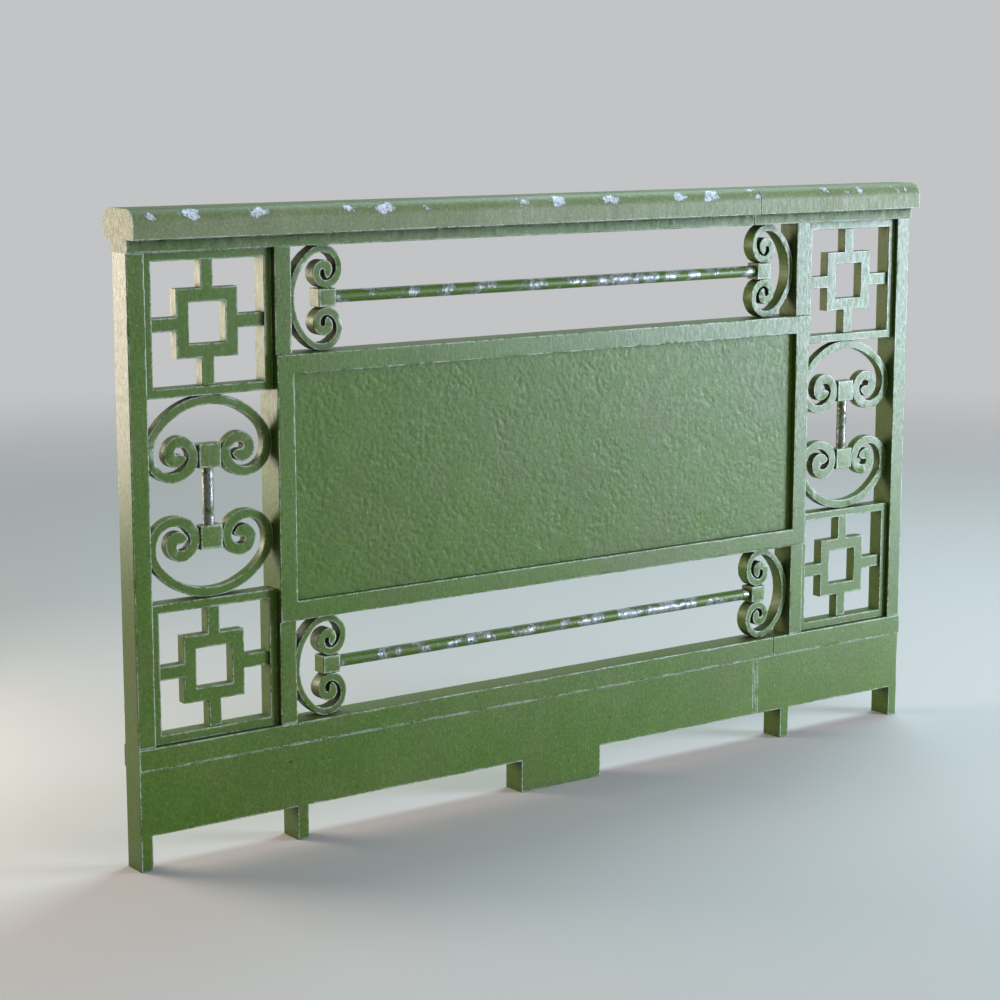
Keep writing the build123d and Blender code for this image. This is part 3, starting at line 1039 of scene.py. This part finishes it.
class FENCE_OT_scrolls(bpy.types.Operator):
    """Make the four ring scrolls and the four slot scrolls"""

    bl_idname = "fence.scrolls"
    bl_label = "Scrolls"

    def execute(self, context):
        # The scrolls' strong recess darkening is painted shade in their hollows and beside the
        # posts, besides grime
        material = painted("scroll_paint", grime=1.5)
        for seed, corner in enumerate(CORNERS):
            level, side = corner.split("_")
            up = (0, 0, 1 if level == "upper" else -1)
            coat(soft_scroll(f"ring_scroll_{corner}", (1, 0, 0), up, 80 + seed), material)
            up = (1 if side == "right" else -1, 0, 0)
            coat(soft_scroll(f"slot_scroll_{corner}", (0, 0, 1), up, 90 + seed), material)
        return {"FINISHED"}


class FENCE_OT_collars(bpy.types.Operator):
    """Make the collars between the volutes"""

    bl_idname = "fence.collars"
    bl_label = "Collars"

    def execute(self, context):
        material = painted(
            "collar_paint", edge_wear=1.15, edge_width=1.8, fading=1.1, chalking=0.15, chips=0.3,
            chip_size=90.0,
        )
        for corner in CORNERS:
            coat(soft_collar(f"ring_collar_{corner}"), material)
            coat(soft_collar(f"slot_collar_{corner}"), material)
        return {"FINISHED"}


class FENCE_OT_rods(bpy.types.Operator):
    """Make the chipped long rods and the nearly bare upright rods"""

    bl_idname = "fence.rods"
    bl_label = "Rods"

    def execute(self, context):
        material = painted(
            "rod_paint", chips=1.12, chip_size=30.0, zone=rod_wear, fading=0.7, peel=0.5,
            grime=0.6, bare=(0.36, 0.38, 0.4), metal=0.6,
        )
        for seed, level in enumerate(LEVELS):
            coat(soft_rod(f"slot_rod_{level}", X, 100 + seed), material)
        material = painted(
            "bare_rod", chips=1.9, chip_size=60.0, fading=0.9, faded=(0.15, 0.16, 0.1), peel=0.5,
            grime=0.9, bare=(0.2, 0.2, 0.19), metal=1.0,
        )
        for seed, side in enumerate(SIDES):
            coat(soft_rod(f"ring_rod_{side}", Z, 110 + seed), material)
        return {"FINISHED"}


class FENCE_OT_stage(bpy.types.Operator):
    """Set the camera, the pale floor and the soft studio light"""

    bl_idname = "fence.stage"
    bl_label = "Stage"

    def execute(self, context):
        place_camera()
        lay_floor()
        light_world()
        for lamp in LAMPS:
            hang_lamp(*lamp)
        bpy.context.scene.view_settings.view_transform = "Standard"
        return {"FINISHED"}


def place_camera():
    """Camera that looks along its yaw and pitch."""
    stage = settings().stage
    camera = bpy.data.objects.new("camera", bpy.data.cameras.new("camera"))
    bpy.context.scene.collection.objects.link(camera)
    bpy.context.scene.camera = camera
    camera.data.lens = stage.lens
    camera.data.sensor_width = SENSOR_WIDTH
    camera.location = stage.camera_place
    yaw, pitch = stage.camera_yaw, stage.camera_pitch
    level = math.cos(pitch)
    ahead = Vector((math.sin(yaw) * level, math.cos(yaw) * level, math.sin(pitch)))
    camera.rotation_euler = ahead.to_track_quat("-Z", "Y").to_euler()


def lay_floor():
    """Flat disc: radius times (cos a, sin a, 0). It fades out towards its rim into the backdrop."""
    stage = settings().stage
    turn = np.linspace(0, 2 * math.pi, FLOOR_SIDES, endpoint=False)
    radii = np.array(FLOOR_RINGS)[:, None] * stage.floor_radius
    points = np.stack([radii * np.cos(turn), radii * np.sin(turn), 0 * radii * turn], axis=-1)
    u = np.arange(len(FLOOR_RINGS) - 1)[:, None] * FLOOR_SIDES
    v = np.arange(FLOOR_SIDES)
    after = (v + 1) % FLOOR_SIDES
    quads = np.stack([u + v, u + FLOOR_SIDES + v, u + FLOOR_SIDES + after, u + after], axis=-1)
    mesh = bpy.data.meshes.new("floor")
    mesh.from_pydata(points.reshape(-1, 3), [], quads.reshape(-1, 4).tolist() + [v.tolist()])
    floor = bpy.data.objects.new("floor", mesh)
    bpy.context.scene.collection.objects.link(floor)
    material = bpy.data.materials.new("floor")
    material.use_nodes = True
    w = Wiring(material.node_tree)
    shader = material.node_tree.nodes["Principled BSDF"].inputs
    shader["Base Color"].default_value = rgba(stage.floor_tone)
    shader["Roughness"].default_value = FLOOR_ROUGHNESS
    shader["Specular IOR Level"].default_value = FLOOR_SPECULAR
    distance = w.vector("LENGTH", "Value", {0: w.where()})
    gone, full = stage.floor_radius * FLOOR_GONE, stage.floor_radius * FLOOR_FULL
    w.feed(shader["Alpha"], w.ramp(distance, gone, full))
    coat(floor, material)


def light_world():
    """Even light for the object, and a pale tone where the camera, a reflection or clear glass
    sees it."""
    stage = settings().stage
    world = bpy.data.worlds.new("studio")
    bpy.context.scene.world = world
    world.use_nodes = True
    w = Wiring(world.node_tree)
    even = world.node_tree.nodes["Background"]
    even.inputs["Color"].default_value = (1, 1, 1, 1)
    even.inputs["Strength"].default_value = stage.sky_strength
    seen = w.node("ShaderNodeBackground", {"Color": rgba(stage.backdrop_tone), "Strength": 1.0})
    rays = w.node("ShaderNodeLightPath").outputs
    clear = w.math("MAXIMUM", rays["Is Camera Ray"], rays["Is Transmission Ray"])
    clear = w.math("MAXIMUM", clear, rays["Is Glossy Ray"])
    mixed = w.node("ShaderNodeMixShader", {0: clear, 1: even.outputs[0], 2: seen.outputs[0]})
    w.feed(world.node_tree.nodes["World Output"].inputs["Surface"], mixed.outputs[0])


def hang_lamp(name, spot, target, size, watts, tint):
    """Square lamp of a size in metres, turned towards its target."""
    data = bpy.data.lights.new(name, "AREA")
    data.energy = watts
    data.size = size
    data.color = tint
    lamp = bpy.data.objects.new(name, data)
    bpy.context.scene.collection.objects.link(lamp)
    lamp.location = spot
    lamp.rotation_euler = (Vector(target) - Vector(spot)).to_track_quat("-Z", "Y").to_euler()


class FENCE_PT_panel(bpy.types.Panel):
    bl_idname = "FENCE_PT_panel"
    bl_label = "Metal Fence Panel"
    bl_space_type = "VIEW_3D"
    bl_region_type = "UI"
    bl_category = "Fence Panel"

    def draw(self, context):
        held = context.scene.fence_panel
        for group in (held.paint, held.shapes, held.scrolls, held.stage):
            box = self.layout.box()
            for key in group.bl_rna.properties.keys():
                if key not in ("rna_type", "name"):
                    box.prop(group, key)
        for operator in OPERATORS:
            self.layout.operator(operator.bl_idname)


GROUPS = (FencePaint, FenceShapes, FenceScrolls, FenceStage, FenceSettings)
OPERATORS = (
    FENCE_OT_skirt,
    FENCE_OT_rails,
    FENCE_OT_posts,
    FENCE_OT_cap,
    FENCE_OT_centre,
    FENCE_OT_frets,
    FENCE_OT_scrolls,
    FENCE_OT_collars,
    FENCE_OT_rods,
    FENCE_OT_stage,
)
CLASSES = GROUPS + OPERATORS + (FENCE_PT_panel,)


def register():
    """Make the classes and the scene's settings known to Blender."""
    for cls in CLASSES:
        bpy.utils.register_class(cls)
    bpy.types.Scene.fence_panel = PointerProperty(type=FenceSettings)


def unregister():
    """Take the settings and the classes away again."""
    del bpy.types.Scene.fence_panel
    for cls in reversed(CLASSES):
        bpy.utils.unregister_class(cls)


def main():
    """Build the panel and its stage."""
    register()
    bpy.ops.fence.skirt()
    bpy.ops.fence.rails()
    bpy.ops.fence.posts()
    bpy.ops.fence.cap()
    bpy.ops.fence.centre()
    bpy.ops.fence.frets()
    bpy.ops.fence.scrolls()
    bpy.ops.fence.collars()
    bpy.ops.fence.rods()
    bpy.ops.fence.stage()


if __name__ == "__main__":
    main()
